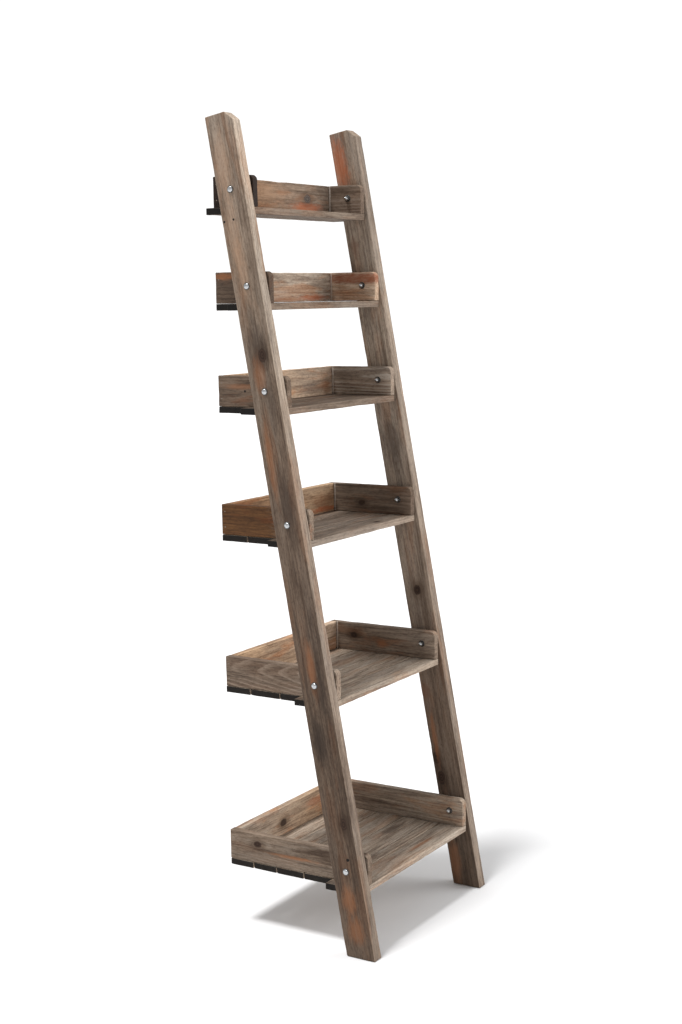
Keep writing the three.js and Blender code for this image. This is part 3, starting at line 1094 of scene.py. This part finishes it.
@dataclass
class PivotBolt:
    """A pivot's carriage bolt, with its washers and dome nut."""

    number: int
    side: str
    pivot: Vector
    slot: str
    rail_outside: float = 0.268
    rail_inside: float = 0.238
    board_outside: float = 0.234
    board_inside: float = 0.216
    gap: float = 0.15 * MM
    shank_radius: float = 3.0 * MM
    head_radius: float = 6.6 * MM
    head_height: float = 2.8 * MM
    washer_radius: float = 8.0 * MM
    washer_hole: float = 3.3 * MM
    head_washer: float = 0.9 * MM
    nut_washer: float = 1.6 * MM
    collar: float = 0.5 * MM
    nut_across: float = 10.0 * MM
    nut_height: float = 5.0 * MM
    cap_radius: float = 4.5 * MM
    steps: int = 28

    def build(self) -> list[bpy.types.Object]:
        """Make the bolt, its three washers and its nut.

        Returns:
            The finished pieces, of which the bolt stands for the CAD node.
        """
        seat = self.board_inside - self.nut_washer - self.gap
        made = {
            "shank": (self._bolt(seat), BRIGHT_ZINC),
            "head_washer": (self._washer(self.rail_outside, self.head_washer), DULL_ZINC_WITH_PAINTED_SHADE),
            "spacer": (self._washer(self.board_outside, self.rail_inside - self.board_outside), DULL_ZINC_WITH_PAINTED_SHADE),
            "nut_washer": (self._washer(self.board_inside - self.nut_washer, self.nut_washer), DULL_ZINC_WITH_PAINTED_SHADE),
            "nut": (self._nut(seat), BRIGHT_ZINC),
        }
        node = f"tray_{self.number}_bolt_{self.side}"
        pieces = [self._place(f"{node}_{part}", bm, finish) for part, (bm, finish) in made.items()]
        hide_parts(node)
        return pieces

    def _place(self, name: str, bm: bmesh.types.BMesh, finish: MetalFinish) -> bpy.types.Object:
        """Put a part, made for the right-hand side, on its side and on the ladder.

        Args:
            name: the piece's name.
            bm: its mesh, on the x axis.
            finish: its metal.

        Returns:
            The finished piece.
        """
        if self.side == "left":
            bmesh.ops.scale(bm, vec=(-1, 1, 1), verts=bm.verts)
            face_outwards(bm)
        bmesh.ops.translate(bm, vec=(0, self.pivot.y, self.pivot.z), verts=bm.verts)
        for face in bm.faces:
            face.smooth = True
        for edge in bm.edges:
            edge.smooth = edge.calc_face_angle(0.0) < math.radians(32)
        piece = new_piece(name, bm)
        piece.data.materials.append(finish.material())
        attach(piece, "ladder")
        return piece

    def _washer(self, start: float, thickness: float) -> bmesh.types.BMesh:
        """Turn a washer with rounded rims.

        Args:
            start: the x of its inner face.
            thickness: its thickness, gaps included.

        Returns:
            The washer.
        """
        low, high = start + self.gap, start + thickness - self.gap
        rim = min(0.25 * MM, (high - low) / 3)
        wide, hole = self.washer_radius, self.washer_hole
        outside = [(low, wide - rim), (low + rim, wide), (high - rim, wide), (high, wide - rim)]
        return turned([(low, hole), *outside, (high, hole), (low, hole)], self.steps)

    def _bolt(self, seat: float) -> bmesh.types.BMesh:
        """Turn the shank and its domed head.

        Args:
            seat: the x of the nut's face on its washer.

        Returns:
            The bolt.
        """
        base = self.rail_outside + self.head_washer
        top = base + self.collar
        dome = [(top + self.head_height * math.sin(a), self.head_radius * math.cos(a)) for a in QUARTER]
        start = seat - self.nut_height
        shank = [(start, 0.0), (start, self.shank_radius), (base, self.shank_radius)]
        head = [(base, self.head_radius), *dome, (top + self.head_height, 0.0)]
        return turned([*shank, *head], self.steps)

    def _nut(self, seat: float) -> bmesh.types.BMesh:
        """Make a dome nut: a hexagon with turned-off corners and a cap, hollow for the shank.

        Args:
            seat: the x of its face on its washer.

        Returns:
            The nut.
        """
        corner = self.nut_across / math.sqrt(3)
        end = seat - self.nut_height
        cap = [(end - self.cap_radius * math.sin(a), self.cap_radius * math.cos(a)) for a in QUARTER]
        bore, floor = self.shank_radius + 0.1 * MM, end - 0.2 * MM
        low, high = end + 0.5 * MM, seat - 0.4 * MM
        hexagon = [(seat, corner * 0.94), (high, corner), (low, corner), (end, corner * 0.9)]
        hollow = [(floor, 0.0), (floor, bore), (seat, bore)]
        bm = turned([*hollow, *hexagon, (end, self.cap_radius), *cap, (end - self.cap_radius, 0.0)], 24)
        return self._flatten(bm, seat, end)

    def _flatten(self, bm: bmesh.types.BMesh, seat: float, end: float) -> bmesh.types.BMesh:
        """Plane the six flats of the nut.

        Args:
            bm: the turned nut.
            seat: the x of the nut's face on the washer.
            end: the x where the cap starts.

        Returns:
            The same bmesh.
        """
        flat = self.nut_across / 2
        for vert in bm.verts:
            on_hexagon = end - CLOSE <= vert.co.x <= seat + CLOSE
            if on_hexagon and vert.co.yz.length > self.cap_radius + 10 * CLOSE:
                angle = math.atan2(vert.co.z, vert.co.y)
                sector = (angle + math.pi / 6) % (math.pi / 3) - math.pi / 6
                limit = flat / math.cos(sector)
                if vert.co.yz.length > limit:
                    vert.co.yz = vert.co.yz.normalized() * limit
        return bm


@dataclass
class Nails:
    """The nails that hold one tray together."""

    number: int
    nodes: Iterable[str]
    tray_width: float = 0.468
    radius: float = 1.7 * MM
    height: float = 0.45 * MM
    sunk: float = 0.3 * MM
    inset: float = 9 * MM
    back_shares: tuple[float, float] = (0.25, 0.76)
    floor_shares: tuple[float, float] = (0.25, 0.75)

    def build(self) -> bpy.types.Object:
        """Make the heads at the rear corners, and under every plank and slat.

        Returns:
            The nail heads of the tray, as one piece.
        """
        bm = bmesh.new()
        prefix = f"tray_{self.number}_"
        half = self.tray_width / 2
        for sign, side in zip((-1, 1), SIDES):
            low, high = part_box(f"{prefix}side_{side}")
            for share in self.back_shares:
                spot = Vector((sign * half, high.y - self.inset, low.z + (high.z - low.z) * share))
                self._head(bm, spot, Vector((sign, 0, 0)))
        floor = sorted(n for n in self.nodes if n.startswith(prefix) and ("plank" in n or "slat" in n))
        for low, high in map(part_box, floor):
            for sign in (-1, 1):
                for share in self.floor_shares:
                    spot = Vector((sign * (half - self.inset), low.y + (high.y - low.y) * share, low.z))
                    self._head(bm, spot, Vector((0, 0, -1)))
        piece = new_piece(f"{prefix}nails", bm)
        piece.data.materials.append(NAIL_STEEL.material())
        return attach(piece, f"tray_{self.number}")

    def _head(self, bm: bmesh.types.BMesh, spot: Vector, outward: Vector) -> None:
        """Add one nail head, sunk into the board.

        Args:
            bm: the tray's nails.
            spot: where the nail goes in.
            outward: which way its head faces.
        """
        turn = outward.to_track_quat("Z", "Y").to_matrix().to_4x4()
        at = Matrix.Translation(spot - outward * self.sunk) @ turn
        bmesh.ops.create_cone(
            bm, cap_ends=True, segments=10, radius1=self.radius, radius2=self.radius * 0.8,
            depth=self.height, matrix=at,
        )  # fmt: skip


# --------------------------------------------------------------------------------------
# Surroundings
# --------------------------------------------------------------------------------------


@dataclass(frozen=True)
class Sun:
    """A soft, distant light, whose spread is its angular size."""

    name: str
    azimuth: float
    elevation: float
    strength: float
    spread: float

    def build(self) -> None:
        """Hang the light, with its azimuth taken from the front towards the right."""
        data = bpy.data.lights.new(self.name, "SUN")
        data.energy, data.angle = self.strength, math.radians(self.spread)
        light = bpy.data.objects.new(self.name, data)
        a, e = math.radians(self.azimuth), math.radians(self.elevation)
        towards = Vector((math.sin(a) * math.cos(e), -math.cos(a) * math.cos(e), math.sin(e)))
        light.matrix_world = towards.to_track_quat("Z", "Y").to_matrix().to_4x4()
        bpy.context.scene.collection.objects.link(light)


@dataclass
class Studio:
    """The camera, the lights and the pale floor."""

    camera_at: Vector = field(default_factory=lambda: Vector((-3.1266, -1.9200, 1.4515)))
    yaw: float = math.radians(58.03)
    pitch: float = math.radians(-7.74)
    roll: float = math.radians(-0.97)
    lens: float = 56.11
    floor_size: float = 60.0
    floor_drop: float = 0.4 * MM
    floor_colour: Colour = (0.74, 0.74, 0.745, 1.0)
    sky_light: float = 0.64
    sky_seen: float = 1.1
    suns: tuple[Sun, ...] = (
        Sun("key light", azimuth=35.0, elevation=14.0, strength=2.7, spread=50.0),
        Sun("top light", azimuth=-122.0, elevation=71.0, strength=2.95, spread=12.0),
    )

    def build(self) -> None:
        """Set up the whole studio."""
        self._camera()
        self._floor()
        self._sky()
        for sun in self.suns:
            sun.build()

    def _camera(self) -> None:
        """Place the camera by its yaw from the back, its pitch and its roll."""
        level = Vector((math.sin(self.yaw), math.cos(self.yaw), 0.0))
        forward = level * math.cos(self.pitch) + Vector((0.0, 0.0, math.sin(self.pitch)))
        right = Vector((math.cos(self.yaw), -math.sin(self.yaw), 0.0))
        up = right.cross(forward)
        right, up = (
            right * math.cos(self.roll) + up * math.sin(self.roll),
            up * math.cos(self.roll) - right * math.sin(self.roll),
        )
        data = bpy.data.cameras.new("camera")
        data.sensor_width, data.lens = 36.0, self.lens
        camera = bpy.data.objects.new("camera", data)
        turn = Matrix((right, up, -forward)).transposed()
        camera.matrix_world = Matrix.Translation(self.camera_at) @ turn.to_4x4()
        bpy.context.scene.collection.objects.link(camera)
        bpy.context.scene.camera = camera

    def _floor(self) -> None:
        """Lay the pale floor."""
        bm = bmesh.new()
        below = Matrix.Translation((0, 0, -self.floor_drop))
        bmesh.ops.create_grid(bm, x_segments=2, y_segments=2, size=self.floor_size / 2, matrix=below)
        floor = new_piece("floor", bm)
        made = bpy.data.materials.new("pale floor")
        made.use_nodes = True
        g = Graph(made.node_tree)
        shader = g.node("ShaderNodeBsdfPrincipled", {"Base Color": self.floor_colour, "Roughness": 0.9})
        shader.inputs["Specular IOR Level"].default_value = 0.1
        g.node("ShaderNodeOutputMaterial", {"Surface": shader.outputs[0]})
        floor.data.materials.append(made)

    def _sky(self) -> None:
        """Light the scene softly from all round, in front of a white sky."""
        world = bpy.data.worlds.new("studio")
        bpy.context.scene.world = world
        world.use_nodes = True
        g = Graph(world.node_tree)
        seen = g.node("ShaderNodeLightPath").outputs["Is Camera Ray"]
        strength = g.math("ADD", self.sky_light, g.math("MULTIPLY", seen, self.sky_seen - self.sky_light))
        sky = g.node("ShaderNodeBackground", {"Color": (1.0, 1.0, 1.0, 1.0), "Strength": strength})
        g.node("ShaderNodeOutputWorld", {"Surface": sky.outputs[0]})
        bpy.context.scene.view_settings.view_transform = "Standard"


def report(pieces: Iterable[bpy.types.Object]) -> None:
    """Log each piece's name and number of faces."""
    for piece in pieces:
        log.info("%s: %d faces", piece.name, len(piece.data.polygons))


def main() -> None:
    """Build the shelf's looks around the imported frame."""
    logging.basicConfig(level=logging.INFO, format="%(message)s")
    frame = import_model()
    Studio().build()
    slots = {part["node"]: part["material_slot"] for part in frame["record"]["subparts"]}
    pivots = {j["child"]: Vector(j["pos_m"]) for j in frame["joints"]}
    bolts = tuple(pivots[f"tray_{n}"] for n in range(1, TRAY_COUNT + 1))
    report(Rail(side, slots[f"rail_{side}"], bolts).build() for side in SIDES)
    for number, pivot in enumerate(bolts, 1):
        report(Tray(number, slots, pivot).build())
        report([Nails(number, slots).build()])
        for side in SIDES:
            report(PivotBolt(number, side, pivot, slots[f"tray_{number}_bolt_{side}"]).build())


if __name__ == "__main__":
    main()
